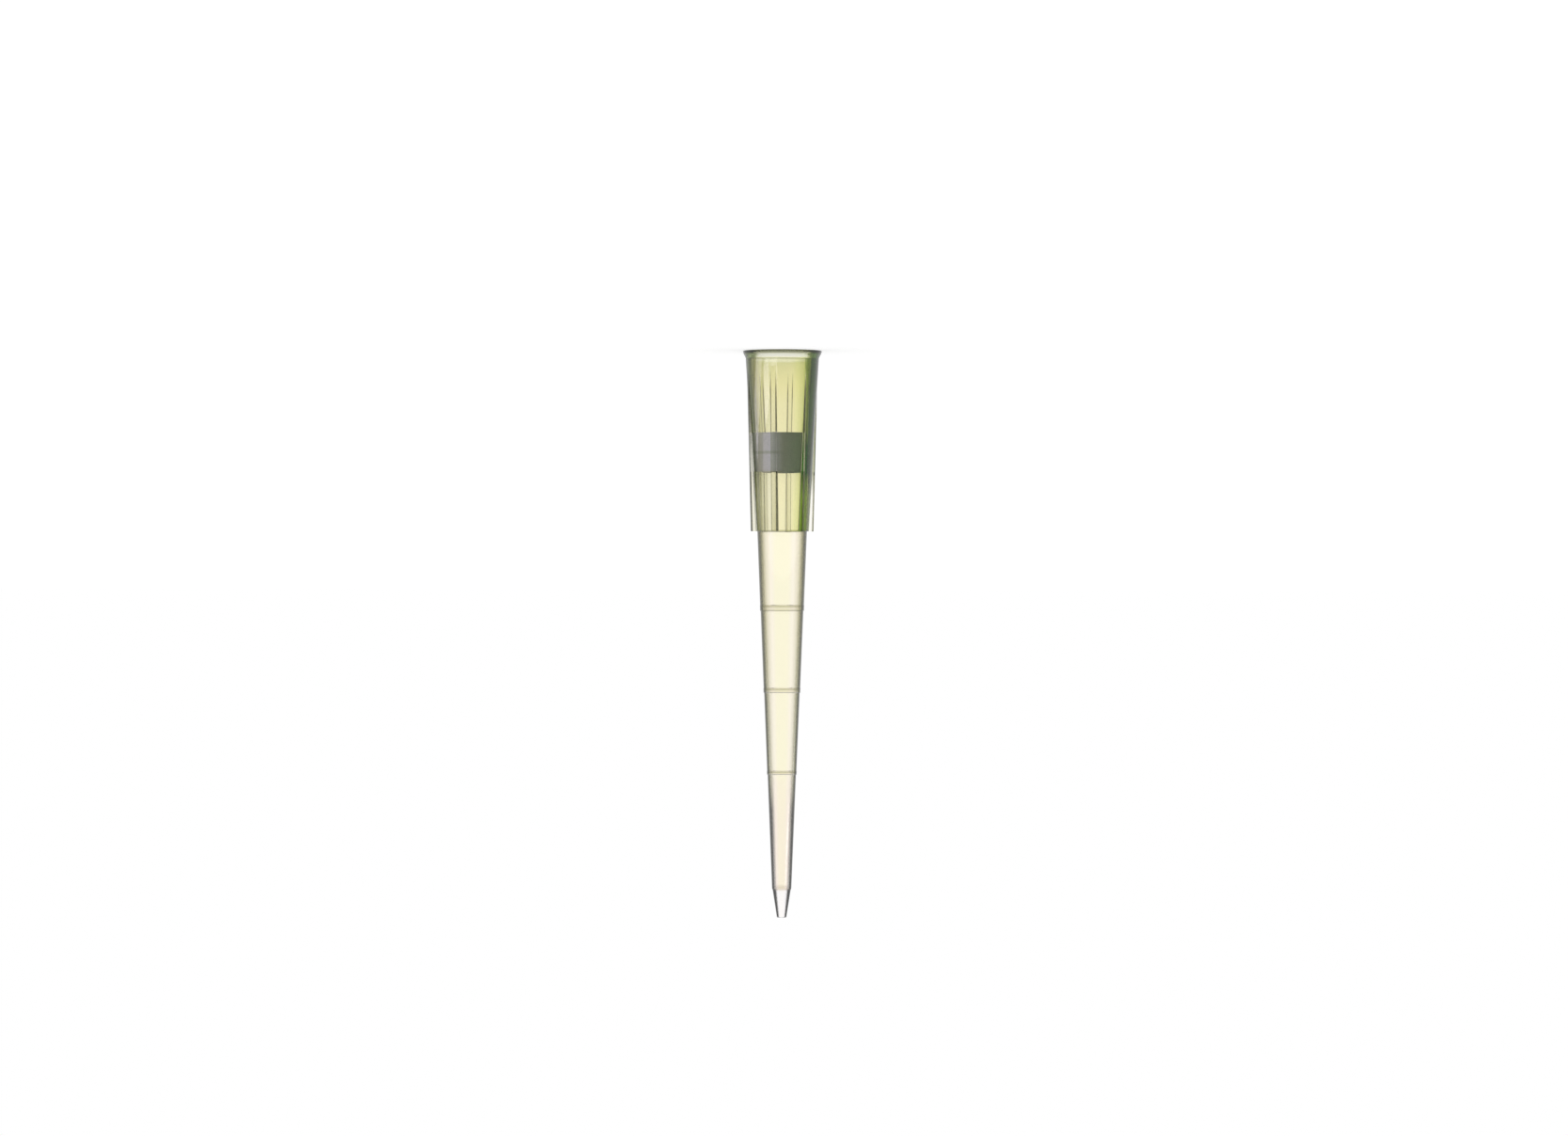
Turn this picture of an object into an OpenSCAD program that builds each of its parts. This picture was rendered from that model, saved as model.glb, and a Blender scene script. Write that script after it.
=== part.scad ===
// Filtered pipette tip of the 200 microlitre size, with a fluted collar and graduation rings.
// It stands on the rim of its collar. +Z is the axis, from the mouth at the rim to the outlet.
// The outside is the bore plus a wall, so that the two stay together when a size changes.

/* [Collar] */
// Length of the collar, from the rim to the ledge where its ribs end
collar_length = 16.1; // [13:0.1:20]
// Outer diameter of the lip at the rim
lip_d = 7.06; // [6.7:0.02:7.6]
// Height of the lip's upright outer edge
lip_edge = 0.1; // [0.04:0.02:0.3]
// Height over which the collar flares out into the lip
lip_flare = 0.55; // [0.3:0.05:1]
// Wall of the collar under the lip
collar_wall = 0.64; // [0.45:0.01:0.7]
// Wall of the collar at its ledge
collar_end_wall = 0.47; // [0.4:0.01:0.6]

/* [Ribs] */
// Number of ribs round the collar
rib_count = 6; // [4:1:12]
// Width of a rib
rib_width = 0.5; // [0.3:0.02:0.7]
// Rounding of the two edges along a rib's crest
rib_edge_r = 0.08; // [0.02:0.01:0.12]
// Distance from the rim to where the ribs rise out of the collar
rib_start = 1.8; // [1:0.1:4]
// Diameter over the ribs at the collar's ledge
rib_end_d = 5.7; // [5.5:0.02:6]
// Angle of the first rib round the axis
rib_angle = 45; // [0:0.5:60]

/* [Socket] */
// Diameter of the mouth at the rim
mouth_d = 5.7; // [5.4:0.02:6]
// Height of the lead-in chamfer inside the mouth
lead_in = 0.7; // [0.3:0.05:1.2]
// Diameter of the land that seals on the pipette's nose
seal_d = 5.28; // [5:0.02:5.4]
// Length of the sealing land
seal_length = 1.5; // [1:0.1:3]

/* [Filter] */
// Distance from the rim to the filter plug
filter_depth = 7.3; // [5:0.1:9]
// Length of the filter plug
filter_length = 3.5; // [2:0.1:4]
// Diameter of the bore at the filter's wide end
filter_wide_d = 4.54; // [4.3:0.02:4.8]
// Diameter of the bore at the filter's narrow end
filter_narrow_d = 4.08; // [3.9:0.02:4.2]
// Gap all round the filter, which is zero for a plug that is pressed in
filter_gap = 0; // [0:0.01:0.1]

/* [Body] */
// Length of the long cone, from the collar's ledge to the shoulder
body_length = 31.85; // [26:0.1:40]
// Diameter of the bore where the collar meets the body
throat_d = 3.76; // [3.4:0.02:3.8]
// Diameter of the bore at the shoulder
shoulder_bore_d = 1.1; // [0.9:0.02:1.4]
// Wall of the body just past the collar
body_wall = 0.345; // [0.25:0.005:0.39]
// Wall of the body at the shoulder
shoulder_wall = 0.315; // [0.27:0.005:0.4]

/* [Graduation] */
// Distance from the collar's ledge to the 100 microlitre ring
ring_100_at = 6.58; // [4:0.02:9]
// Distance from the collar's ledge to the 50 microlitre ring
ring_50_at = 13.96; // [11:0.02:17]
// Distance from the collar's ledge to the 20 microlitre ring
ring_20_at = 21.34; // [19:0.02:24]
// Height of the 100 microlitre ring
ring_100_height = 0.5; // [0.3:0.02:0.8]
// Height of the 50 microlitre ring
ring_50_height = 0.42; // [0.3:0.02:0.8]
// Height of the 20 microlitre ring
ring_20_height = 0.34; // [0.2:0.02:0.8]
// How far a ring stands out of the wall above it
ring_rise = 0.02; // [0.01:0.005:0.05]
// How far the wall steps in below each ring
ring_step = 0.03; // [0.01:0.005:0.05]

/* [Outlet] */
// Length of the nozzle, from the shoulder to the outlet
nozzle_length = 2.55; // [1.5:0.05:5]
// Height of the shoulder's slope
shoulder_height = 0.1; // [0.05:0.01:0.4]
// Wall of the nozzle at the shoulder
nozzle_wall = 0.255; // [0.2:0.005:0.265]
// Diameter of the outlet's bore
outlet_d = 0.52; // [0.4:0.02:0.7]
// Wall at the outlet
outlet_wall = 0.16; // [0.1:0.01:0.2]

/* [Hidden] */
$fn = 96;

// How far a form that is cut off runs on past its cut
past = 1;

seal_end = lead_in + seal_length;
filter_end = filter_depth + filter_length;
shoulder_at = collar_length + body_length;
outlet_at = shoulder_at + nozzle_length;

// Radius of the bore against the distance from the rim
BORE = [
    [0, mouth_d / 2],
    [lead_in, seal_d / 2],
    [seal_end, seal_d / 2],
    [filter_depth, filter_wide_d / 2],
    [filter_end, filter_narrow_d / 2],
    [collar_length, throat_d / 2],
    [shoulder_at, shoulder_bore_d / 2],
    [outlet_at, outlet_d / 2]
];
function bore_r(z) = lookup(z, BORE);

// Outside of the collar between its ribs, a straight taper that runs on past the ledge
lip_end = lip_edge + lip_flare;
collar_top_r = seal_d / 2 + collar_wall;
collar_end_r = throat_d / 2 + collar_end_wall;
function collar_r(z) =
    let (share = (z - lip_end) / (collar_length - lip_end))
    collar_top_r + (collar_end_r - collar_top_r) * share;

// A rib reaches this far in from its crest, to the middle of the body's wall at the ledge
rib_depth = (rib_end_d - throat_d - body_wall) / 2;

// Graduation rings, each as [distance from the rim, height]
RINGS = [
    [collar_length + ring_100_at, ring_100_height],
    [collar_length + ring_50_at, ring_50_height],
    [collar_length + ring_20_at, ring_20_height]
];

// Outside of the body once it has stepped in below this many rings
function body_r(z, rings) =
    let (full_wall = shoulder_wall + len(RINGS) * ring_step)
    bore_r(z) - rings * ring_step
        + lookup(z, [[collar_length, body_wall], [shoulder_at, full_wall]]);

// Outline of the ring with this number: out of the wall, along, and in below it
function ring_outline(i) =
    let (top = RINGS[i][0], end = top + RINGS[i][1])
    [
        [body_r(top, i), top],
        [body_r(top, i) + ring_rise, top],
        [body_r(end, i) + ring_rise, end],
        [body_r(end, i + 1), end]
    ];

// Outside of the body and the nozzle, as [radius, distance from the rim]
BODY = [
    [body_r(collar_length, 0), collar_length],
    for (i = [0:len(RINGS) - 1]) each ring_outline(i),
    [body_r(shoulder_at, len(RINGS)), shoulder_at],
    [shoulder_bore_d / 2 + nozzle_wall, shoulder_at + shoulder_height],
    [outlet_d / 2 + outlet_wall, outlet_at]
];

// Section of a rib, with the middle of its crest at the origin and +X outward
module rib_section() {
    flank = rib_width / 2;
    edge = flank - rib_edge_r;
    polygon([
        [-rib_depth, -flank],
        for (a = [-90:30:0]) [rib_edge_r * (cos(a) - 1), rib_edge_r * sin(a) - edge],
        for (a = [0:30:90]) [rib_edge_r * (cos(a) - 1), rib_edge_r * sin(a) + edge],
        [-rib_depth, flank]
    ]);
}

// A rib on the +X side, which leans out of the collar's wall at rib_start and runs on past the ledge
module rib() {
    rise = collar_r(rib_start) - rib_end_d / 2;
    run = collar_length - rib_start;
    translate([collar_r(rib_start), 0, rib_start])
        rotate([0, -atan2(rise, run), 0])
            translate([0, 0, lip_end - rib_start])
                linear_extrude(collar_length + past) rib_section();
}

// The collar with its lip and ribs, cut off flat at the ledge
module collar() {
    intersection() {
        union() {
            rotate_extrude()
                polygon([
                    [0, 0],
                    [lip_d / 2, 0],
                    [lip_d / 2, lip_edge],
                    [collar_top_r, lip_end],
                    [collar_r(collar_length + past), collar_length + past],
                    [0, collar_length + past]
                ]);
            for (i = [0:rib_count - 1])
                rotate([0, 0, rib_angle + i * 360 / rib_count])
                    rib();
        }
        translate([0, 0, -past])
            cylinder(h = past + collar_length, d = lip_d + 2 * past);
    }
}

// The long cone with its graduation rings, and the nozzle
module body() {
    rotate_extrude()
        polygon(concat([[0, collar_length]], BODY, [[0, outlet_at]]));
}

// The bore as a turned form, which runs on past both ends
module bore() {
    rotate_extrude()
        polygon(concat(
            [[0, -past], [mouth_d / 2, -past]],
            [for (point = BORE) [point[1], point[0]]],
            [[outlet_d / 2, outlet_at + past], [0, outlet_at + past]]
        ));
}

// The tip as it is moulded, one piece of clear tinted polypropylene
module tip_body() {
    color([0.93, 0.91, 0.68, 0.6])
        difference() {
            union() {
                collar();
                body();
            }
            bore();
        }
}

// The sintered filter, a plug pressed into the taper of the bore
module filter_plug() {
    color([0.62, 0.62, 0.6])
        translate([0, 0, filter_depth])
            cylinder(
                h = filter_length,
                r1 = filter_wide_d / 2 - filter_gap,
                r2 = filter_narrow_d / 2 - filter_gap
            );
}

tip_body();
filter_plug();
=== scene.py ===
"""Looks of the filtered pipette tip: its clear moulded tube, its sintered filter, and a white studio."""
import math

import bmesh
import bpy
from mathutils import Matrix, Vector


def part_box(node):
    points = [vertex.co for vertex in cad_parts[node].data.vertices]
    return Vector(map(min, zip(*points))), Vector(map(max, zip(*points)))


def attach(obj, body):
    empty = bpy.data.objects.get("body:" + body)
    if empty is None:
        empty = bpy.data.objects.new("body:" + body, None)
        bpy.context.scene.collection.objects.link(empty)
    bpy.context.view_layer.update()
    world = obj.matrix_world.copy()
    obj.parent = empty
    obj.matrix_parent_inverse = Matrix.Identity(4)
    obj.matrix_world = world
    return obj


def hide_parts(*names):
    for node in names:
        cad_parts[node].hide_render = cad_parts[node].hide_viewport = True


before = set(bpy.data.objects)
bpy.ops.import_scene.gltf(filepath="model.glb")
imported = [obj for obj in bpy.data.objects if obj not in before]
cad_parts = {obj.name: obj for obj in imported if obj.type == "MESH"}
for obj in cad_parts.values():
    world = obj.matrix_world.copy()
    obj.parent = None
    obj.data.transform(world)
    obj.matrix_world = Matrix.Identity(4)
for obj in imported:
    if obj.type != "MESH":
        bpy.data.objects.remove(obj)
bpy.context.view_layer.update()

# ---- sizes, in millimetres from the rim, as in the part's source ----
MM = 0.001
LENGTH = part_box("tip_body")[1].z / MM
LIP_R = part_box("tip_body")[1].x / MM
FILTER_LOW, FILTER_HIGH = (corner.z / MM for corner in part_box("filter_plug"))

COLLAR_LENGTH = 16.1
COLLAR_TOP_R = 3.28
COLLAR_END_R = 2.35
LIP_FLARE_END = 0.65
LEAD_IN_END = 0.7

RIB_COUNT = 6
RIB_ANGLE = 45.0
RIB_START = 1.8
RIB_END_R = 2.85
RIB_HALF_WIDTH = 0.25
RIB_EDGE_R = 0.08
RIB_ROOT_R = 0.05

SHOULDER_AT = 47.95
SHOULDER_HEIGHT = 0.1
BODY_WALL = 0.345
SHOULDER_WALL = 0.405
NOZZLE_TOP_R = 0.805
NOZZLE_END_R = 0.42
RINGS = ((22.68, 0.5), (30.06, 0.42), (37.44, 0.34))
RING_RISE = 0.02
RING_STEP = 0.03

# Distance from the rim and radius of the bore
BORE = (
    (0.0, 2.85),
    (LEAD_IN_END, 2.64),
    (2.2, 2.64),
    (7.3, 2.27),
    (10.8, 2.04),
    (COLLAR_LENGTH, 1.88),
    (SHOULDER_AT, 0.55),
    (LENGTH, 0.26),
)

# Distance from the rim and radius of the lip's hollow flare
LIP = (
    (0.0, LIP_R - 0.03),
    (0.03, LIP_R),
    (0.12, 3.525),
    (0.32, 3.45),
    (0.45, 3.37),
    (LIP_FLARE_END, COLLAR_TOP_R),
)

# ---- edges and rows, in millimetres ----
# Size of the soft edges of the mouth, the ledge and the outlet, and how far in the ledge's last row lies
SOFT_EDGE = 0.03
LEDGE_INSET = 1.7 * SOFT_EDGE
# The rounded shoulder, as (distance past its start, change of the radius)
SHOULDER_ROUND = ((-0.04, 0.0), (0.02, -0.015))
# The rounded end of the nozzle, as (distance before the outlet, change of the radius)
NOZZLE_ROUND = ((0.05, 0.006), (0.015, -0.008), (0.0, -0.035))
# Width of the flat strip beside a rib's root, and of the one beside the rounding on its crest
RIB_FOOT = 0.04
RIB_CREST_STRIP = 0.03
# Points between two ribs
GAP_STEPS = 10
# Up to here the ribs rise out of the collar, in closer rows
RIB_RISE_END = 4.0
# Rows round a ring, as distances from its two edges
BEFORE_RING = (0.1, 0.03, 0.02)
IN_RING_START = (0.01, 0.07, 0.18, 0.21)
IN_RING_END = (0.12, 0.08, 0.03, 0.01)
AFTER_RING = (0.02, 0.045)
# The first of the even rows past the ledge, past a ring and past the shoulder
PAST_LEDGE = 0.5
PAST_RING = 0.4
PAST_SHOULDER = 0.3
# Numbers of even rows: on the collar while its ribs rise and from there on, before a ring, before the
# shoulder, and on the nozzle
RISE_ROWS = 14
COLLAR_ROWS = 24
RING_ROWS = 4
SHOULDER_ROWS = 5
NOZZLE_ROWS = 3
# Usual distance between two rows of the bore
BORE_SPACING = 3.0


def along(table, z):
    """The value at z in a table of (z, value), on straight lines between its rows."""
    for (z0, v0), (z1, v1) in zip(table, table[1:]):
        if z <= z1:
            return v0 + (v1 - v0) * (z - z0) / (z1 - z0)
    return table[-1][1]


def spaced(start, end, steps):
    """Evenly spaced values from start up to, but without, end."""
    return [start + (end - start) * i / steps for i in range(steps)]


def guarded(profile, reach=0.02):
    """The profile with a point near each end of its long stretches, so that they shade as straight."""
    points = [profile[0]]
    for (z0, r0), (z1, r1) in zip(profile, profile[1:]):
        length = math.hypot(z1 - z0, r1 - r0)
        if length > 5 * reach:
            share = reach / length
            points.append((z0 + (z1 - z0) * share, r0 + (r1 - r0) * share))
            points.append((z1 - (z1 - z0) * share, r1 - (r1 - r0) * share))
        points.append((z1, r1))
    return points


# ---- the tube's outline at one height ----
def collar_r(z):
    share = (z - LIP_FLARE_END) / (COLLAR_LENGTH - LIP_FLARE_END)
    return COLLAR_TOP_R + (COLLAR_END_R - COLLAR_TOP_R) * share


def crest_r(z):
    share = (z - RIB_START) / (COLLAR_LENGTH - RIB_START)
    return collar_r(RIB_START) + (RIB_END_R - collar_r(RIB_START)) * share


def rib_side(height):
    """One side of a rib's section, from its root to its middle, as (distance from the middle, height)."""
    root = min(RIB_ROOT_R, height / 2)
    edge = min(RIB_EDGE_R, height / 2)
    foot = RIB_HALF_WIDTH + RIB_ROOT_R
    points = [(foot + RIB_FOOT, 0.0), (foot, 0.0)]
    for turn in (30, 60, 90):
        a = math.radians(turn)
        points.append((RIB_HALF_WIDTH + RIB_ROOT_R * (1 - math.sin(a)), root * (1 - math.cos(a))))
    for share in (0.1, 0.9):
        points.append((RIB_HALF_WIDTH, root + (height - edge - root) * share))
    for turn in (0, 22.5, 45, 67.5, 90):
        a = math.radians(turn)
        points.append((RIB_HALF_WIDTH - RIB_EDGE_R * (1 - math.cos(a)), height - edge * (1 - math.sin(a))))
    points.append((RIB_HALF_WIDTH - RIB_EDGE_R - RIB_CREST_STRIP, height))
    return points


def rib_points(z, base_r):
    """A rib's section on the +X side, or the plain arc where the rib hasn't left the collar."""
    root_x = math.sqrt(base_r**2 - RIB_HALF_WIDTH**2)
    height = max(crest_r(z) - root_x, 0.0)
    side = rib_side(height)
    both = [(-t, h) for t, h in side] + [(t, h) for t, h in reversed(side)]
    return [(max(root_x + h, math.sqrt(base_r**2 - t**2)), t) for t, h in both]


def outline(z, base_r, ribbed):
    """The points of the outside at one height, round the axis, always as many and in the same order."""
    section = rib_points(z, base_r)
    if not ribbed:
        angles = [math.atan2(t, x) for x, t in section]
        section = [(base_r * math.cos(a), base_r * math.sin(a)) for a in angles]
    half = math.atan2(section[-1][1], section[-1][0])
    pitch = 2 * math.pi / RIB_COUNT
    points = []
    for i in range(RIB_COUNT):
        turn = math.radians(RIB_ANGLE) + i * pitch
        cos, sin = math.cos(turn), math.sin(turn)
        points += [(x * cos - t * sin, x * sin + t * cos, z) for x, t in section]
        for step in range(1, GAP_STEPS):
            a = turn + half + (pitch - 2 * half) * step / GAP_STEPS
            points.append((base_r * math.cos(a), base_r * math.sin(a), z))
    return points


# ---- marks on the tube's points, which its material reads ----
# How strongly each point of a rib's side is marked as a painted shade line, as its flank and as its crest
SIDE_MARKS = {
    "rib_shade_line": (0.0, 0.6, 1.0, 1.0, 0.4, 0.0, 0.0, 0.3, 1.0, 1.0, 0.8, 0.2, 0.0),
    "rib_flank": (0.0, 0.0, 0.0, 0.0, 0.6, 1.0, 1.0, 0.7, 0.0, 0.0, 0.0, 0.0, 0.0),
    "rib_crest": (0.0, 0.0, 0.0, 0.0, 0.0, 0.0, 0.0, 0.0, 0.3, 0.6, 0.9, 1.0, 1.0),
}
# Height of rib at which each of them is full
FULL_AT = {"rib_shade_line": 0.06, "rib_flank": 0.35, "rib_crest": 0.5}

# Beyond the filter, one side of these two ribs looks faint, and their marks there are this much weaker
FAINT_RIBS = (0, 1)
FAINT_SHARES = {"rib_shade_line": 0.2, "rib_flank": 1.0, "rib_crest": 0.5}


def rib_marks(z, name):
    """The marks of one row's points, as strong as the rib is high there."""
    height = crest_r(z) - collar_r(z)
    strength = min(max(height / FULL_AT[name], 0.0), 1.0)
    side = [mark * strength for mark in SIDE_MARKS[name]]
    row = []
    for rib in range(RIB_COUNT):
        share = FAINT_SHARES[name] if rib in FAINT_RIBS and z > FILTER_HIGH else 1.0
        row += side + [mark * share for mark in reversed(side)] + [0.0] * (GAP_STEPS - 1)
    return row


def faint_marks(z):
    """1 on the faint sides of the ribs beyond the filter."""
    side_points = len(SIDE_MARKS["rib_shade_line"])
    row = []
    for rib in range(RIB_COUNT):
        faint = float(rib in FAINT_RIBS and z > FILTER_HIGH)
        row += [0.0] * (side_points + 1) + [faint] * (side_points - 2) + [0.0] * GAP_STEPS
    return row


# How dark a ring's painted shade lines are drawn against the distance inside its edge, at its start and its
# end
RING_START_MARKS = (
    (-60.0, 0.0),
    (-0.03, 0.0),
    (0.01, 0.3),
    (0.07, 1.0),
    (0.18, 1.0),
    (0.21, 0.0),
    (60.0, 0.0),
)
RING_END_MARKS = ((-60.0, 0.0), (0.0, 0.0), (0.03, 0.4), (0.08, 0.6), (0.12, 0.0), (60.0, 0.0))
# The line where a ring ends shows on the first ring and hardly on the others
RING_END_STRENGTHS = (1.0, 0.1, 0.0)
# How far the step in the wall where a ring ends loses its painted dark edge
CLEAR_STEPS = (0.0, 1.0, 1.0)
# A row counts as on a ring from this far before it to this far before its end, and as on the step at its end
# within these distances before and after that end
RING_REACH = (0.03, 0.06)
STEP_REACH = (0.04, 0.03)


def ring_marks(row):
    """The marks of one row of the body: on a ring, just inside a ring's edges and on the step at its end."""
    z = row[0][2]
    on_ring = any(top - RING_REACH[0] < z < top + height - RING_REACH[1] for top, height in RINGS)
    near_edge = 0.0
    for (top, height), strength in zip(RINGS, RING_END_STRENGTHS):
        at_end = strength * along(RING_END_MARKS, top + height - z)
        near_edge = max(near_edge, along(RING_START_MARKS, z - top), at_end)
    ends = [(top + height, share) for (top, height), share in zip(RINGS, CLEAR_STEPS)]
    step = max(share if end - STEP_REACH[0] < z < end + STEP_REACH[1] else 0.0 for end, share in ends)
    return [[mark] * len(row) for mark in (float(on_ring), near_edge, step)]


def circle_like(reference, r, z):
    """A round row whose points lie at the same angles as those of the reference row."""
    return [(r * x / math.hypot(x, y), r * y / math.hypot(x, y), z) for x, y, _ in reference]


# ---- the rows of the tube ----
def body_wall(z, rings):
    full = BODY_WALL + (SHOULDER_WALL - BODY_WALL) * (z - COLLAR_LENGTH) / (SHOULDER_AT - COLLAR_LENGTH)
    return full - rings * RING_STEP


def body_r(z, rings):
    return along(BORE, z) + body_wall(z, rings)


def body_outline():
    """Distance from the rim and radius of the body and the nozzle, with soft edges on the rings."""
    throat_r = body_r(COLLAR_LENGTH, 0)
    points = [
        (COLLAR_LENGTH, throat_r + LEDGE_INSET),
        (COLLAR_LENGTH, throat_r + SOFT_EDGE),
        (COLLAR_LENGTH + SOFT_EDGE, throat_r),
    ]
    start = COLLAR_LENGTH + PAST_LEDGE
    for i, (top, height) in enumerate(RINGS):
        end = top + height
        points += [(z, body_r(z, i)) for z in spaced(start, top - BEFORE_RING[0], RING_ROWS)]
        points += [(top - step, body_r(top - step, i)) for step in BEFORE_RING]
        points += [(top + step, body_r(top + step, i) + RING_RISE) for step in IN_RING_START]
        points += [(end - step, body_r(end - step, i) + RING_RISE) for step in IN_RING_END]
        points += [(end + step, body_r(end + step, i + 1)) for step in AFTER_RING]
        start = end + PAST_RING

    shoulder_start = SHOULDER_AT + SHOULDER_ROUND[0][0]
    shoulder_end = SHOULDER_AT + SHOULDER_HEIGHT
    shoulder_r = body_r(SHOULDER_AT, len(RINGS))
    points += [(z, body_r(z, len(RINGS))) for z in spaced(start, shoulder_start, SHOULDER_ROWS)]
    points += [(SHOULDER_AT + past, shoulder_r + change) for past, change in SHOULDER_ROUND]
    points.append((shoulder_end, NOZZLE_TOP_R))

    nozzle = ((shoulder_end, NOZZLE_TOP_R), (LENGTH, NOZZLE_END_R))
    nozzle_rows = spaced(shoulder_end + PAST_SHOULDER, LENGTH - NOZZLE_ROUND[0][0], NOZZLE_ROWS)
    points += [(z, along(nozzle, z)) for z in nozzle_rows]
    return points + [(LENGTH - before, NOZZLE_END_R + change) for before, change in NOZZLE_ROUND]


def bore_outline():
    """Distance from the rim and radius of the bore, from the outlet back to the rim."""
    mouth_r = BORE[0][1]
    outlet_r = BORE[-1][1]
    points = [(0.0, mouth_r + SOFT_EDGE), (SOFT_EDGE, mouth_r)]
    for (z0, r0), (z1, r1) in zip(BORE, BORE[1:]):
        steps = max(1, round((z1 - z0) / BORE_SPACING))
        rows = spaced(max(z0, 2 * SOFT_EDGE), z1, steps)
        points += [(z, r0 + (r1 - r0) * (z - z0) / (z1 - z0)) for z in rows]
    points += [(LENGTH - SOFT_EDGE, outlet_r), (LENGTH, outlet_r + SOFT_EDGE)]
    return points[::-1]


def drawn_in(row, reach, z):
    """The points of a row, nearer to the axis."""
    shares = [1 - reach / math.hypot(x, y) for x, y, _ in row]
    return [(x * share, y * share, z) for (x, y, _), share in zip(row, shares)]


def tube_rows():
    """All rows of the closed tube, up the outside, over the outlet and down the bore, with their marks."""
    reference = outline(LIP_FLARE_END, COLLAR_TOP_R, False)
    lip = [circle_like(reference, r, z) for z, r in guarded(LIP)[:-1]]
    near_ledge = COLLAR_LENGTH - 0.1
    edge_start = COLLAR_LENGTH - SOFT_EDGE
    heights = [LIP_FLARE_END + 0.02]
    heights += spaced(LIP_FLARE_END + 0.1, RIB_RISE_END, RISE_ROWS)
    heights += spaced(RIB_RISE_END, near_ledge, COLLAR_ROWS)
    heights += [near_ledge, edge_start - 0.02, edge_start]
    ribbed = [outline(z, collar_r(z), True) for z in heights]
    ledge = ribbed[-1]
    ribbed += [drawn_in(ledge, inset, COLLAR_LENGTH) for inset in (SOFT_EDGE, LEDGE_INSET)]
    body = [circle_like(ledge, r, z) for z, r in guarded(body_outline())]
    bore = [circle_like(ledge, r, z) for z, r in guarded(bore_outline())]

    unmarked = [0.0] * len(ledge)
    marks = {}
    before_collar = [unmarked] * len(lip)
    after_collar = [unmarked] * (len(body) + len(bore))
    for name in SIDE_MARKS:
        marks[name] = before_collar + [rib_marks(row[0][2], name) for row in ribbed] + after_collar
    marks["rib_faint"] = before_collar + [faint_marks(row[0][2]) for row in ribbed] + after_collar
    before_body = [unmarked] * (len(lip) + len(ribbed))
    after_body = [unmarked] * len(bore)
    for index, name in enumerate(("ring", "ring_shade_edge", "ring_step")):
        marks[name] = before_body + [ring_marks(row)[index] for row in body] + after_body
    marks["bore"] = before_body + [unmarked] * len(body) + [[1.0] * len(ledge)] * len(bore)
    return lip + ribbed + body + bore, marks


def skin(name, rows, closed, marks=None):
    """A mesh of quads between rows of points round the axis. Closed joins the last row to the first."""
    count = len(rows[0])
    points = [tuple(c * MM for c in p) for row in rows for p in row]
    faces = []
    for i in range(len(rows) if closed else len(rows) - 1):
        a, b = i * count, (i + 1) % len(rows) * count
        faces += [(a + j, a + (j + 1) % count, b + (j + 1) % count, b + j) for j in range(count)]
    mesh = bpy.data.meshes.new(name)
    mesh.from_pydata(points, [], faces)
    mesh.update()
    for mark, values in (marks or {}).items():
        layer = mesh.attributes.new(mark, "FLOAT", "POINT")
        layer.data.foreach_set("value", [value for row in values for value in row])
    piece = bpy.data.objects.new(name, mesh)
    bpy.context.scene.collection.objects.link(piece)
    return piece


def smooth(piece, sharp_over):
    """Shades a piece smooth, apart from the edges that turn by more than sharp_over degrees."""
    shape = bmesh.new()
    shape.from_mesh(piece.data)
    bmesh.ops.recalc_face_normals(shape, faces=shape.faces)
    for face in shape.faces:
        face.smooth = True
    for edge in shape.edges:
        edge.smooth = edge.calc_face_angle(0.0) < math.radians(sharp_over)
    shape.to_mesh(piece.data)
    shape.free()


# ---- shader helpers ----
def new_material(name):
    material = bpy.data.materials.new(name)
    material.use_nodes = True
    tree = material.node_tree
    return material, tree, tree.nodes["Principled BSDF"]


def math_node(tree, operation, first, second):
    node = tree.nodes.new("ShaderNodeMath")
    node.operation = operation
    for socket, value in zip(node.inputs, (first, second)):
        if isinstance(value, bpy.types.NodeSocket):
            tree.links.new(value, socket)
        else:
            socket.default_value = value
    return node.outputs[0]


def inverse(tree, value):
    return math_node(tree, "SUBTRACT", 1.0, value)


def between(tree, value, first, second):
    """0 at the first value and 1 at the second one, on a straight line between them."""
    node = tree.nodes.new("ShaderNodeMapRange")
    node.inputs["From Min"].default_value = first
    node.inputs["From Max"].default_value = second
    tree.links.new(value, node.inputs["Value"])
    return node.outputs[0]


def between_mm(tree, place, first, second):
    """The same for a place along an axis, with both values in millimetres."""
    return between(tree, place, first * MM, second * MM)


def ramp_node(tree, source, stops):
    node = tree.nodes.new("ShaderNodeValToRGB")
    elements = node.color_ramp.elements
    while len(elements) < len(stops):
        elements.new(1.0)
    for element, (position, colour) in zip(elements, stops):
        element.position = position
        element.color = (*colour, 1.0)
    tree.links.new(source, node.inputs[0])
    return node.outputs[0]


def mix_node(tree, blend, factor, first, second):
    node = tree.nodes.new("ShaderNodeMix")
    node.data_type = "RGBA"
    node.blend_type = blend
    for index, value in ((0, factor), (6, first), (7, second)):
        if isinstance(value, bpy.types.NodeSocket):
            tree.links.new(value, node.inputs[index])
        else:
            node.inputs[index].default_value = value
    return node.outputs[2]


def banded(tree, place, stops):
    """Colours that change along an axis, from stops of (millimetres, colour)."""
    low, high = stops[0][0], stops[-1][0]
    share = between_mm(tree, place, low, high)
    return ramp_node(tree, share, [((z - low) / (high - low), colour) for z, colour in stops])


def changed(tree, height, zone, before, after):
    """One colour before a zone along the axis, and another one beyond it."""
    return mix_node(tree, "MIX", between_mm(tree, height, *zone), before, after)


def attribute_node(tree, name):
    node = tree.nodes.new("ShaderNodeAttribute")
    node.attribute_name = name
    return node.outputs["Fac"]


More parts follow.
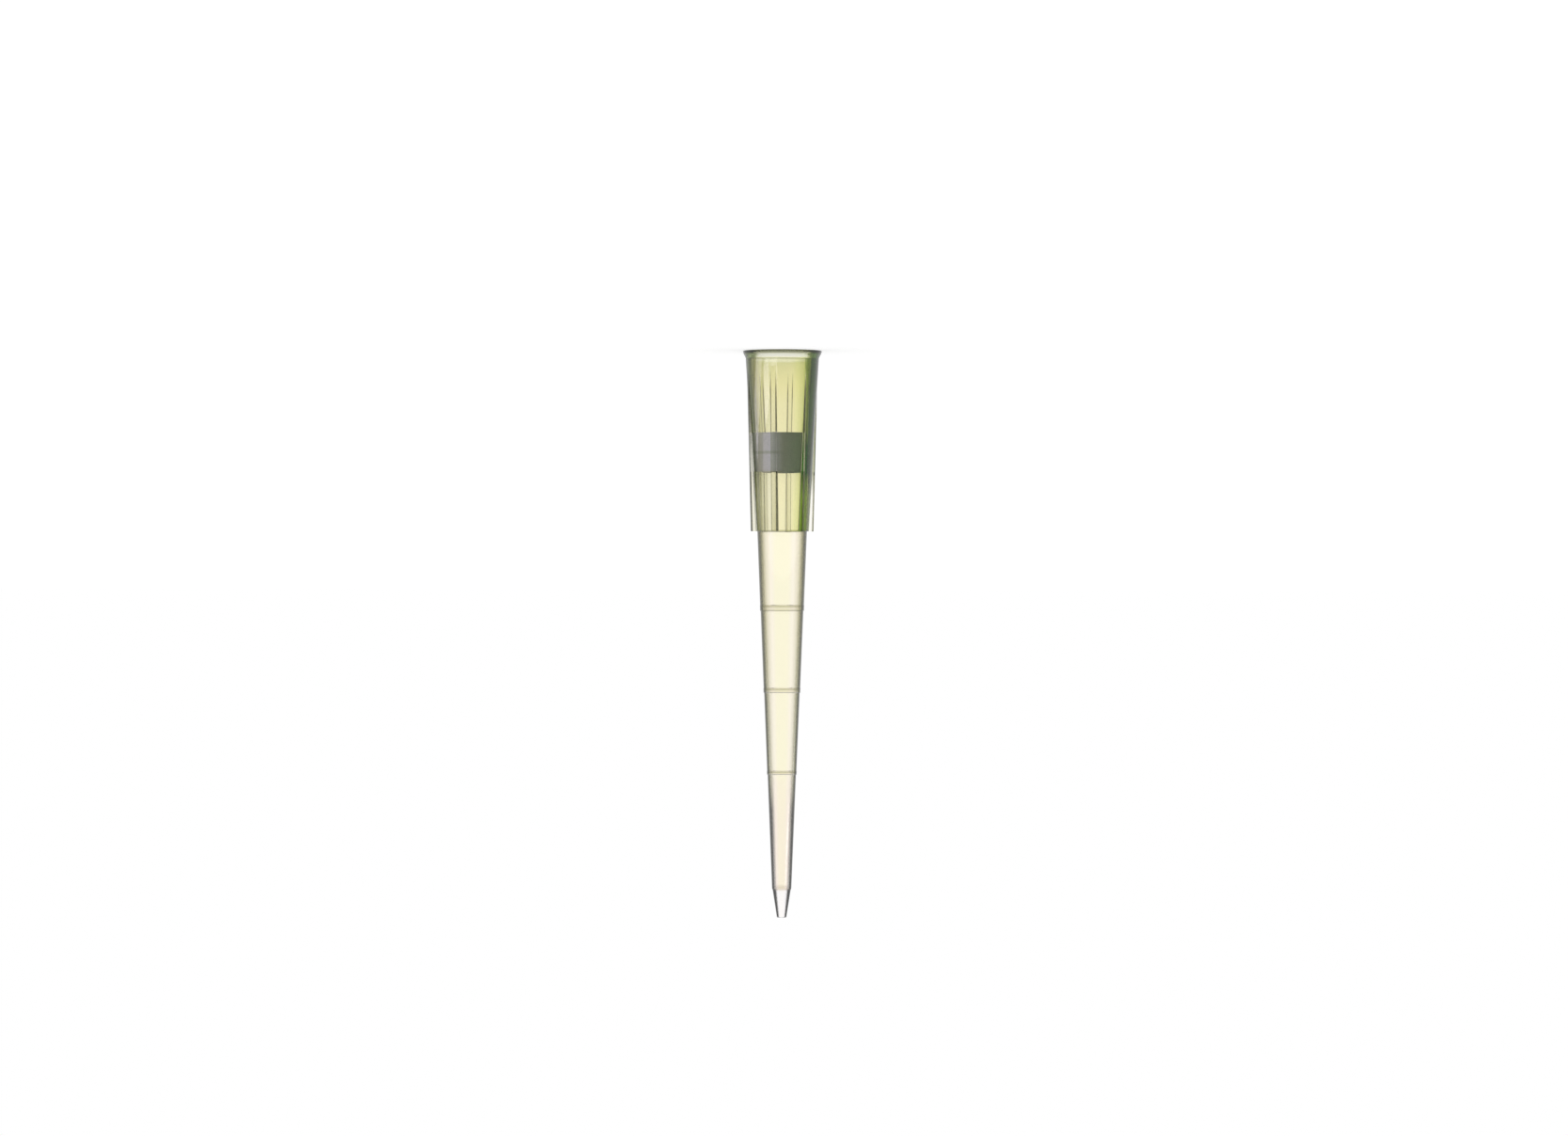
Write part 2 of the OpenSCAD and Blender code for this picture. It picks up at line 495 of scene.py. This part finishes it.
# A tint that changes nothing
NEUTRAL = (1.0, 1.0, 1.0)

# ---- clear plastic: where its looks change ----
# Top, upper and low are meant as in the picture, which has the rim at the top.
# Each zone fades in between two distances from the rim, in millimetres
COLLAR_FROM_LIP = (LEAD_IN_END, LEAD_IN_END + 0.04)
PALER_COLLAR = (1.5, 13.0)
GREEN_MIDDLE = (6.0, 8.5)
COLLAR_LOW = (11.0, 13.5)
UPPER_FIN_END = (11.0, 13.0)
BODY_FROM_COLLAR = (COLLAR_LENGTH, COLLAR_LENGTH + 0.02)
BODY_CENTRE = (22.0, 34.0)
BODY_LOW = (37.0, 41.0)
NOZZLE_FROM_BODY = (SHOULDER_AT + 0.05, SHOULDER_AT + 0.15)
FILTER_FADE = 0.01

# Each side fades in between two places round the axis, from -1 towards +X to 1 towards -X
GREEN_SIDE = (0.10, 0.20)
GREEN_FIN = (0.93, 0.97)
PLAIN_FIN = (-0.93, -0.97)
# The next two mark the side towards the lamps, which is painted paler as painted light
GREY_SIDE = (0.05, -0.25)
PALER_SIDE = (-0.08, -0.45)
# The same, but as distances from the middle towards either side
STEP_MIDDLE = (0.9, 0.75)

# ---- clear plastic: tints ----
# Colours that one wall gives to the light through it, and painted light and shade where marked
LEAD_IN_TINT = (0.95, 0.945, 0.87)
COLLAR_TINTS = (
    (0.74, (0.78, 0.775, 0.515)),
    (1.4, (0.82, 0.80, 0.55)),
    (3.1, (0.87, 0.84, 0.585)),
    (4.8, (0.885, 0.855, 0.63)),
    (14.4, (0.92, 0.89, 0.69)),
)
BODY_TINT = (0.98, 0.958, 0.885)
MIDDLE_BODY_TINT = (0.978, 0.942, 0.885)
LOW_BODY_TINT = (0.975, 0.93, 0.885)
NOZZLE_TINT = (1.0, 0.985, 1.0)
RING_TINT = (0.85, 0.835, 0.78, 1)
# Painted shade: the dark lines just inside a ring's edges
RING_SHADE_TINT = (0.70, 0.70, 0.62, 1)
# Painted shade: darker bands at the ledge and at the shoulder
LEDGE_TINT = (0.66, 0.64, 0.44)
SHOULDER_TINT = (0.87, 0.82, 0.77)
# Painted light: the collar's side towards the lamps is painted paler with this
LIT_TINT = (1.0, 0.98, 1.0, 1)
# Painted shade: the dark lines along the ribs' edges
RIB_SHADE_LINE = (0.06, 0.06, 0.04, 1)
# The ribs' crests, which are thicker and so darker
RIB_CREST = (0.46, 0.47, 0.32, 1)
RIB_FLANK_TINT = (0.95, 0.93, 0.88, 1)
# Painted shade: the ribs furthest towards -X and +X are darker
GREEN_FIN_TINT = (0.35, 0.37, 0.25, 1)
PLAIN_FIN_TINT = (0.75, 0.75, 0.60, 1)
# These replace the painted shade at the edges on the ribs' sides and on the rings' steps
PLAIN_RIB_TINT = (0.72, 0.73, 0.66, 1)
PLAIN_STEP_TINT = (1.0, 0.99, 0.95, 1)
# How far the collar's paler side, which is painted light, goes towards LIT_TINT
PALER_SHARE = 0.3
# How far the filter behind them hides the ribs' painted shade lines
HIDDEN_SHARE = 0.95


def collar_tint_stops():
    """Tint of one wall of the lip and the collar against the distance from the rim, with painted shade at the
    ledge.
    """
    stops = [(0.0, LEAD_IN_TINT), (LEAD_IN_END, LEAD_IN_TINT), *COLLAR_TINTS]
    return stops + [(COLLAR_LENGTH - 0.12, COLLAR_TINTS[-1][1]), (COLLAR_LENGTH - 0.08, LEDGE_TINT)]


def body_tint_stops():
    """Tint of one wall of the body and the nozzle against the distance from the rim, with painted shade at
    the shoulder.
    """
    return [
        (COLLAR_LENGTH, BODY_TINT),
        (37.5, BODY_TINT),
        (38.5, MIDDLE_BODY_TINT),
        (42.0, LOW_BODY_TINT),
        (SHOULDER_AT - 0.35, LOW_BODY_TINT),
        (SHOULDER_AT - 0.2, SHOULDER_TINT),
        (NOZZLE_FROM_BODY[0], SHOULDER_TINT),
        (NOZZLE_FROM_BODY[1], NOZZLE_TINT),
        (LENGTH, NOZZLE_TINT),
    ]


# Painted shade on the lip, as the share of the light let in where it enters: least at its edge, and less on a
# line beyond the lead-in
RIM_PAINTED_SHADE = (
    (0.0, (0.03, 0.03, 0.02)),
    (0.16, (0.04, 0.045, 0.025)),
    (0.28, (0.20, 0.21, 0.11)),
    (0.38, NEUTRAL),
    (0.72, NEUTRAL),
    (0.75, (0.42, 0.42, 0.30)),
    (0.81, (0.42, 0.42, 0.30)),
    (0.84, NEUTRAL),
)
# The chamfer inside the mouth ends in a faint line of painted shade
LEAD_IN_SHADE_LINE = (
    (0.0, NEUTRAL),
    (0.66, NEUTRAL),
    (0.68, (0.85, 0.86, 0.80)),
    (0.72, (0.85, 0.86, 0.80)),
    (0.74, NEUTRAL),
)

# ---- clear plastic: edges, with painted shade ----
# Tones that the darker shares tend to, in the tables with one number a row
OLIVE = (0.55, 0.55, 0.15)
GREY = (0.8, 0.8, 0.75)
# Painted shade at the edges: share of the light that one surface lets in, against how far it is turned from
# the eye (0 to 1)
LIP_EDGE = (
    (0.10, NEUTRAL),
    (0.27, (0.92, 0.92, 0.88)),
    (0.31, (0.70, 0.72, 0.58)),
    (0.36, (0.28, 0.32, 0.17)),
    (0.46, (0.20, 0.25, 0.11)),
    (1.0, (0.10, 0.14, 0.05)),
)
GREEN_LIP_EDGE = (
    (0.10, NEUTRAL),
    (0.27, (0.93, 0.95, 0.84)),
    (0.31, (0.66, 0.70, 0.48)),
    (0.36, (0.20, 0.27, 0.07)),
    (0.46, (0.08, 0.16, 0.02)),
    (1.0, (0.03, 0.08, 0.01)),
)
COLLAR_EDGE = (
    (0.03, NEUTRAL),
    (0.09, (0.90, 0.91, 0.88)),
    (0.187, (0.86, 0.86, 0.80)),
    (0.24, (0.80, 0.80, 0.72)),
    (0.30, (0.68, 0.68, 0.58)),
    (0.36, (0.54, 0.54, 0.43)),
    (0.43, (0.36, 0.37, 0.26)),
    (0.50, (0.15, 0.17, 0.08)),
    (0.60, (0.10, 0.13, 0.04)),
    (1.0, (0.07, 0.11, 0.02)),
)
COLLAR_LOW_EDGE = (
    (0.03, NEUTRAL),
    (0.09, (0.92, 0.93, 0.90)),
    (0.187, (0.90, 0.90, 0.85)),
    (0.24, (0.86, 0.86, 0.79)),
    (0.30, (0.82, 0.82, 0.73)),
    (0.36, (0.77, 0.77, 0.66)),
    (0.43, (0.62, 0.62, 0.50)),
    (0.50, (0.36, 0.37, 0.25)),
    (0.60, (0.10, 0.13, 0.04)),
    (1.0, (0.07, 0.11, 0.02)),
)
# The body looks yellower in its middle
BODY_MIDDLE = (
    (0.0, (1.0, 1.0, 0.935)),
    (0.035, (1.0, 1.0, 0.94)),
    (0.09, (1.0, 0.985, 1.0)),
    (0.12, (1.0, 0.985, 1.0)),
)
NOZZLE_MIDDLE = ((0.0, (1.0, 1.0, 0.97)),)
OUTER_EDGE = ((0.20, 0.95), (0.29, 0.87), (0.36, 0.72), (0.43, 0.5), (0.5, 0.2), (0.6, 0.07), (1.0, 0.04))
UPPER_OUTER_EDGE = (
    (0.14, (1.0, 0.985, 0.98)),
    (0.19, (0.945, 0.935, 0.87)),
    (0.255, (0.92, 0.91, 0.815)),
    (0.334, (0.79, 0.775, 0.67)),
    (0.434, (0.46, 0.45, 0.32)),
    (0.50, (0.19, 0.185, 0.11)),
    (0.57, (0.08, 0.08, 0.04)),
    (1.0, (0.02, 0.02, 0.01)),
)
NOZZLE_OUTER_EDGE = ((0.14, 0.97), (0.19, 0.8), (0.24, 0.4), (0.3, 0.12), (0.4, 0.04), (1.0, 0.02))
BORE_EDGE = ((0.20, 1.0), (0.32, 0.97), (0.43, 0.92), (0.55, 0.85), (0.74, 0.7), (0.9, 0.45), (1.0, 0.2))
LOW_OUTER_EDGE = ((0.16, 0.93), (0.22, 0.7), (0.29, 0.48), (0.37, 0.14), (0.5, 0.08), (1.0, 0.04))
LOW_BORE_EDGE = ((0.3, 1.0), (0.5, 0.92), (0.8, 0.7), (1.0, 0.5))
GREEN_TOP_EDGE = (
    (0.03, NEUTRAL),
    (0.084, (0.97, 0.99, 0.86)),
    (0.155, (0.84, 0.87, 0.72)),
    (0.19, (0.82, 0.85, 0.68)),
    (0.225, (0.72, 0.78, 0.52)),
    (0.265, (0.25, 0.35, 0.11)),
    (0.34, (0.27, 0.36, 0.08)),
    (0.39, (0.02, 0.07, 0.01)),
    (0.45, (0.05, 0.12, 0.01)),
    (1.0, (0.01, 0.03, 0.01)),
)
GREEN_MIDDLE_EDGE = (
    (0.03, NEUTRAL),
    (0.155, (0.84, 0.88, 0.70)),
    (0.19, (0.80, 0.84, 0.62)),
    (0.235, (0.07, 0.21, 0.01)),
    (0.29, (0.02, 0.13, 0.0)),
    (0.36, (0.01, 0.08, 0.0)),
    (0.545, (0.04, 0.10, 0.0)),
    (1.0, (0.01, 0.03, 0.0)),
)
GREEN_LOW_EDGE = (
    (0.03, NEUTRAL),
    (0.084, (0.97, 0.99, 0.86)),
    (0.155, (0.88, 0.92, 0.74)),
    (0.20, (0.86, 0.90, 0.72)),
    (0.23, (0.14, 0.22, 0.03)),
    (0.29, (0.22, 0.35, 0.05)),
    (0.38, (0.50, 0.62, 0.16)),
    (0.44, (0.60, 0.68, 0.20)),
    (0.53, (0.40, 0.46, 0.08)),
    (0.62, (0.22, 0.28, 0.03)),
    (1.0, (0.10, 0.14, 0.02)),
)


def edge_stops(table, tone):
    """Ramp stops for the shares in a table, of which the darker ones tend to the tone."""
    return tuple((facing, [share * (share + (1 - share) * c) for c in tone]) for facing, share in table)


def squared(stops):
    """The stops for a base colour, of which the renderer applies the square root at each surface."""
    return [(position, [c * c for c in colour]) for position, colour in stops]


def wall_tint(tree, height, side, before_filter):
    """The colour of one wall: the collar's and the body's, with their rings and ribs, and painted light and
    shade.
    """
    # Painted light: the lamps' side of the collar is painted greyer before the filter, and less yellow
    # towards the ledge
    before_grey = math_node(tree, "MULTIPLY", between(tree, side, *GREY_SIDE), before_filter)
    paler = math_node(tree, "MULTIPLY", between_mm(tree, height, *PALER_COLLAR), PALER_SHARE)
    paler = math_node(tree, "MULTIPLY", between(tree, side, *PALER_SIDE), paler)
    lit_side = math_node(tree, "MAXIMUM", before_grey, paler)
    collar = mix_node(tree, "MIX", lit_side, banded(tree, height, collar_tint_stops()), LIT_TINT)
    tint = changed(tree, height, BODY_FROM_COLLAR, collar, banded(tree, height, body_tint_stops()))
    tint = mix_node(tree, "MULTIPLY", attribute_node(tree, "ring"), tint, RING_TINT)
    tint = mix_node(tree, "MULTIPLY", attribute_node(tree, "ring_shade_edge"), tint, RING_SHADE_TINT)

    # Ribs are thicker and so darker; the dark lines along their edges are painted shade, which hardly shows
    # before the filter
    strength = inverse(tree, math_node(tree, "MULTIPLY", before_filter, HIDDEN_SHARE))
    line = math_node(tree, "MULTIPLY", attribute_node(tree, "rib_shade_line"), strength)
    crest = math_node(tree, "MULTIPLY", attribute_node(tree, "rib_crest"), strength)
    tint = mix_node(tree, "MIX", attribute_node(tree, "rib_flank"), tint, RIB_FLANK_TINT)
    tint = mix_node(tree, "MULTIPLY", crest, tint, RIB_CREST)
    return mix_node(tree, "MULTIPLY", line, tint, RIB_SHADE_LINE)


def edge_ramps(tree, facing, *tables):
    """Painted shade: what a surface lets through against how far it is turned from the eye, for each of the
    tables.
    """
    return [ramp_node(tree, facing, squared(table)) for table in tables]


def collar_edge(tree, facing, height, side, before_filter):
    """What the outside of the lip and the collar lets through, with painted shade at its edges."""
    # One side is a deeper green, with darker painted shade at its edges
    green_side = between(tree, side, *GREEN_SIDE)
    top, middle, low = edge_ramps(tree, facing, GREEN_TOP_EDGE, GREEN_MIDDLE_EDGE, GREEN_LOW_EDGE)
    green = changed(tree, height, GREEN_MIDDLE, top, middle)
    green = changed(tree, height, COLLAR_LOW, green, low)
    plain = changed(tree, height, COLLAR_LOW, *edge_ramps(tree, facing, COLLAR_EDGE, COLLAR_LOW_EDGE))
    collar = mix_node(tree, "MIX", green_side, plain, green)
    lip = mix_node(tree, "MIX", green_side, *edge_ramps(tree, facing, LIP_EDGE, GREEN_LIP_EDGE))

    # Painted shade: the ribs furthest towards +X and -X are darker, most in the upper part of the green side
    upper = inverse(tree, between_mm(tree, height, *UPPER_FIN_END))
    green_fin = math_node(tree, "MULTIPLY", between(tree, side, *GREEN_FIN), upper)
    collar = mix_node(tree, "MULTIPLY", green_fin, collar, GREEN_FIN_TINT)
    collar = mix_node(tree, "MULTIPLY", between(tree, side, *PLAIN_FIN), collar, PLAIN_FIN_TINT)

    # The sides of the other ribs don't take the painted shade before the filter
    rib_side = math_node(tree, "MAXIMUM", attribute_node(tree, "rib_flank"), attribute_node(tree, "rib_shade_line"))
    plain_side = math_node(tree, "MULTIPLY", rib_side, before_filter)
    plain_side = math_node(tree, "MULTIPLY", plain_side, inverse(tree, green_side))
    plain_side = math_node(tree, "MAXIMUM", plain_side, attribute_node(tree, "rib_faint"))
    collar = mix_node(tree, "MIX", plain_side, collar, PLAIN_RIB_TINT)
    return changed(tree, height, COLLAR_FROM_LIP, lip, collar)


def body_edge(tree, facing, height, side):
    """What the outside of the body and the nozzle lets through, with painted shade at its edges."""
    # The wall grows thicker for its bore towards the outlet, so other angles are painted dark
    upper, middle, low, nozzle = edge_ramps(
        tree,
        facing,
        BODY_MIDDLE + UPPER_OUTER_EDGE,
        BODY_MIDDLE + edge_stops(OUTER_EDGE, OLIVE),
        BODY_MIDDLE + edge_stops(LOW_OUTER_EDGE, GREY),
        NOZZLE_MIDDLE + edge_stops(NOZZLE_OUTER_EDGE, GREY),
    )
    body = changed(tree, height, BODY_CENTRE, upper, middle)
    body = changed(tree, height, BODY_LOW, body, low)

    # The steps at the rings' ends keep their painted dark edge only towards +X and -X
    in_middle = between(tree, math_node(tree, "ABSOLUTE", side, 0.0), *STEP_MIDDLE)
    plain_step = math_node(tree, "MULTIPLY", attribute_node(tree, "ring_step"), in_middle)
    body = mix_node(tree, "MIX", plain_step, body, PLAIN_STEP_TINT)
    return changed(tree, height, NOZZLE_FROM_BODY, body, nozzle)


def edge_on(tree, height, side, before_filter):
    """Painted shade: what the tube's outside and its bore let through, against how far they are turned from
    the eye.
    """
    weight = tree.nodes.new("ShaderNodeLayerWeight")
    weight.inputs["Blend"].default_value = 0.5
    facing = weight.outputs["Facing"]
    outer = collar_edge(tree, facing, height, side, before_filter)
    outer = changed(tree, height, BODY_FROM_COLLAR, outer, body_edge(tree, facing, height, side))
    entering = inverse(tree, tree.nodes.new("ShaderNodeNewGeometry").outputs["Backfacing"])
    # Painted shade on the lip, only where light enters the plastic
    outer = mix_node(tree, "MULTIPLY", entering, outer, banded(tree, height, RIM_PAINTED_SHADE))

    bore_tables = (edge_stops(BORE_EDGE, OLIVE), edge_stops(LOW_BORE_EDGE, GREY))
    bore = changed(tree, height, BODY_LOW, *edge_ramps(tree, facing, *bore_tables))
    bore = mix_node(tree, "MULTIPLY", 1.0, bore, banded(tree, height, LEAD_IN_SHADE_LINE))
    return mix_node(tree, "MIX", attribute_node(tree, "bore"), outer, bore)


def clear_plastic():
    """Clear tinted polypropylene, with painted light and shade, darker where it is seen edge on."""
    material, tree, shader = new_material("clear_polypropylene")
    place = tree.nodes.new("ShaderNodeSeparateXYZ")
    tree.links.new(tree.nodes.new("ShaderNodeTexCoord").outputs["Object"], place.inputs[0])
    x, y, height = place.outputs
    squares = [math_node(tree, "POWER", across, 2.0) for across in (x, y)]
    radius = math_node(tree, "SQRT", math_node(tree, "ADD", *squares), 0.0)
    # -1 on the side towards +X and 1 on the side towards -X
    side = math_node(tree, "DIVIDE", math_node(tree, "MULTIPLY", x, -1.0), radius)
    from_low = between_mm(tree, height, FILTER_LOW - FILTER_FADE, FILTER_LOW + FILTER_FADE)
    to_high = between_mm(tree, height, FILTER_HIGH + FILTER_FADE, FILTER_HIGH - FILTER_FADE)
    before_filter = math_node(tree, "MULTIPLY", from_low, to_high)

    tint = wall_tint(tree, height, side, before_filter)
    edge = edge_on(tree, height, side, before_filter)
    tree.links.new(mix_node(tree, "MULTIPLY", 1.0, tint, edge), shader.inputs["Base Color"])
    shader.inputs["Transmission Weight"].default_value = 1.0
    shader.inputs["Roughness"].default_value = 0.02
    shader.inputs["IOR"].default_value = 1.49
    return material


# ---- sintered plastic ----
# The depth is in millimetres
GRAINS_PER_METRE = 9000.0
GRAIN_DEPTH = 0.03
GRAIN_SHADES = ((0.0, NEUTRAL), (0.8, (0.85, 0.86, 0.87)))
# Painted light and shade on the plug against the distance from its middle towards +X, in millimetres
# Lighter towards +X, with a painted reflection of a lamp as a bright stripe from 1.0 to 1.5 mm
PLUG_PAINTED_LIGHT = (
    (-2.2, (0.141, 0.25, 0.176)),
    (-1.4, (0.141, 0.25, 0.176)),
    (-0.75, (0.141, 0.217, 0.171)),
    (-0.1, (0.204, 0.258, 0.25)),
    (0.4, (0.33, 0.37, 0.325)),
    (0.9, (0.65, 0.665, 0.61)),
    (1.0, (0.95, 0.92, 1.0)),
    (1.5, (0.95, 0.92, 1.0)),
    (1.6, (0.71, 0.70, 0.68)),
    (1.85, (0.92, 0.90, 0.88)),
    (2.2, NEUTRAL),
)
# A faint line round the plug against the distance from the rim
PLUG_LINE = ((8.9, NEUTRAL), (9.0, (0.76, 0.79, 0.70)), (9.16, (0.76, 0.79, 0.70)), (9.26, NEUTRAL))
# It fades in between these two distances from the middle towards +X
PLUG_LINE_SIDE = (-0.3, 0.6)


def sintered_plastic():
    """Porous polyethylene, sintered from fine grains, with painted light and shade across it."""
    material, tree, shader = new_material("sintered_polyethylene")
    where = tree.nodes.new("ShaderNodeTexCoord")
    grain = tree.nodes.new("ShaderNodeTexVoronoi")
    grain.inputs["Scale"].default_value = GRAINS_PER_METRE
    tree.links.new(where.outputs["Object"], grain.inputs["Vector"])
    colour = ramp_node(tree, grain.outputs["Distance"], GRAIN_SHADES)
    place = tree.nodes.new("ShaderNodeSeparateXYZ")
    tree.links.new(where.outputs["Object"], place.inputs[0])
    across, _, height = place.outputs
    # Painted light and shade across the plug
    colour = mix_node(tree, "MULTIPLY", 1.0, colour, banded(tree, across, PLUG_PAINTED_LIGHT))
    line_shows = between_mm(tree, across, *PLUG_LINE_SIDE)
    colour = mix_node(tree, "MULTIPLY", line_shows, colour, banded(tree, height, PLUG_LINE))
    tree.links.new(colour, shader.inputs["Base Color"])
    bump = tree.nodes.new("ShaderNodeBump")
    bump.invert = True
    bump.inputs["Strength"].default_value = 0.5
    bump.inputs["Distance"].default_value = GRAIN_DEPTH * MM
    tree.links.new(grain.outputs["Distance"], bump.inputs["Height"])
    tree.links.new(bump.outputs[0], shader.inputs["Normal"])
    shader.inputs["Roughness"].default_value = 0.85
    return material


# ---- pieces ----
def make_tip():
    rows, marks = tube_rows()
    piece = skin("moulded_tip", rows, closed=True, marks=marks)
    smooth(piece, sharp_over=50)
    piece.data.materials.append(clear_plastic())
    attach(piece, "root")
    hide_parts("tip_body")


def make_filter():
    """The plug, slightly narrower than the bore and off its axis, so that they share no face."""
    gap = 0.004
    shift = 0.016
    edge = 0.02
    centre_r = 0.02
    steps = 96
    low_r, high_r = along(BORE, FILTER_LOW) - gap, along(BORE, FILTER_HIGH) - gap
    side = [(z, along(BORE, z) - gap) for z in spaced(FILTER_LOW + edge, FILTER_HIGH - edge, 12)]
    profile = [(FILTER_LOW, r) for r in (centre_r, 0.6 * low_r, low_r - edge)]
    profile += side + [(FILTER_HIGH - edge, high_r)]
    profile += [(FILTER_HIGH, r) for r in (high_r - edge, 0.6 * high_r, centre_r)]
    turns = [2 * math.pi * i / steps for i in range(steps)]
    rows = [[(r * math.cos(a) + shift, r * math.sin(a), z) for a in turns] for z, r in profile]
    piece = skin("sintered_filter", rows, closed=True)
    smooth(piece, sharp_over=60)
    piece.data.materials.append(sintered_plastic())
    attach(piece, "root")
    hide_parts("filter_plug")


# ---- studio ----
# Strength of the surroundings where they light a matt surface. Where they are seen, they are white
PLAIN_LEVEL = 0.7
FLOOR_COLOUR = 0.66
# The floor's glow brings it just past white, so that no edge of the floor shows
FLOOR_MARGIN = 0.04


def seen_directly(tree):
    """1 for rays of the camera, of reflections and through clear plastic, and 0 for other rays."""
    outputs = tree.nodes.new("ShaderNodeLightPath").outputs
    either = math_node(tree, "MAXIMUM", outputs["Is Camera Ray"], outputs["Is Transmission Ray"])
    return math_node(tree, "MAXIMUM", either, outputs["Is Glossy Ray"])


def make_world():
    world = bpy.data.worlds.new("studio")
    bpy.context.scene.world = world
    world.use_nodes = True
    tree = world.node_tree
    background = tree.nodes["Background"]
    background.inputs["Color"].default_value = (1, 1, 1, 1)
    level = math_node(tree, "MULTIPLY", seen_directly(tree), 1 - PLAIN_LEVEL)
    tree.links.new(math_node(tree, "ADD", level, PLAIN_LEVEL), background.inputs["Strength"])


def make_floor():
    reach = 3.0
    below = -0.03 * MM
    corners = [(x * reach, y * reach, below) for x, y in ((-1, -1), (1, -1), (1, 1), (-1, 1))]
    mesh = bpy.data.meshes.new("floor")
    mesh.from_pydata(corners, [], [(0, 1, 2, 3)])
    floor = bpy.data.objects.new("floor", mesh)
    bpy.context.scene.collection.objects.link(floor)
    material, tree, shader = new_material("white_floor")
    shader.inputs["Base Color"].default_value = (FLOOR_COLOUR,) * 3 + (1,)
    shader.inputs["Roughness"].default_value = 1.0
    shader.inputs["Specular IOR Level"].default_value = 0.0
    shader.inputs["Emission Color"].default_value = (1, 1, 1, 1)
    full_glow = 1 - PLAIN_LEVEL * FLOOR_COLOUR + FLOOR_MARGIN
    glow = math_node(tree, "MULTIPLY", seen_directly(tree), full_glow)
    tree.links.new(glow, shader.inputs["Emission Strength"])
    floor.data.materials.append(material)


# From the axis, in millimetres
LAMP_DISTANCE = 600.0
LAMP_COLOUR = (1.0, 0.93, 1.12)


def softbox(name, bearing, height, width, tall, radiance):
    """A wide, low lamp, level with the tip. Its bearing is in degrees from the camera's side towards +X."""
    lamp = bpy.data.lights.new(name, "AREA")
    lamp.shape = "RECTANGLE"
    lamp.size, lamp.size_y = width * MM, tall * MM
    lamp.energy = radiance * math.pi * lamp.size * lamp.size_y
    lamp.color = LAMP_COLOUR
    a = math.radians(bearing)
    holder = bpy.data.objects.new(name, lamp)
    holder.location = Vector((math.sin(a) * LAMP_DISTANCE, -math.cos(a) * LAMP_DISTANCE, height)) * MM
    holder.rotation_euler = (math.radians(90), 0, a)
    bpy.context.scene.collection.objects.link(holder)


# ---- camera ----
def make_camera():
    """Level with the middle of the tip and turned over, so that the nozzle points down in the picture."""
    # Lengths are in millimetres
    distance = 560.0
    height = 25.2
    view_width = 139.8
    aim = Vector((-0.172, 0.0, 19.36))
    roll = math.radians(0.075)
    data = bpy.data.cameras.new("camera")
    data.sensor_width = 36.0
    data.lens = data.sensor_width * distance / view_width
    data.clip_start, data.clip_end = 0.01, 20.0
    camera = bpy.data.objects.new("camera", data)
    bpy.context.scene.collection.objects.link(camera)
    place = Vector((aim.x, -distance, height))
    back = (place - aim).normalized()
    up = Vector((math.sin(roll), 0, -math.cos(roll)))
    right = up.cross(back).normalized()
    up = back.cross(right)
    turn = Matrix((right, up, back)).transposed()
    camera.matrix_world = Matrix.Translation(place * MM) @ turn.to_4x4()
    bpy.context.scene.camera = camera


make_tip()
make_filter()
make_world()
make_floor()
softbox("key_softbox", bearing=53, height=43.5, width=212, tall=11, radiance=3.9)
softbox("side_softbox", bearing=89, height=31, width=440, tall=12, radiance=2.8)
softbox("front_softbox", bearing=29, height=48, width=240, tall=10, radiance=2.4)
make_camera()
bpy.context.scene.view_settings.view_transform = "Standard"
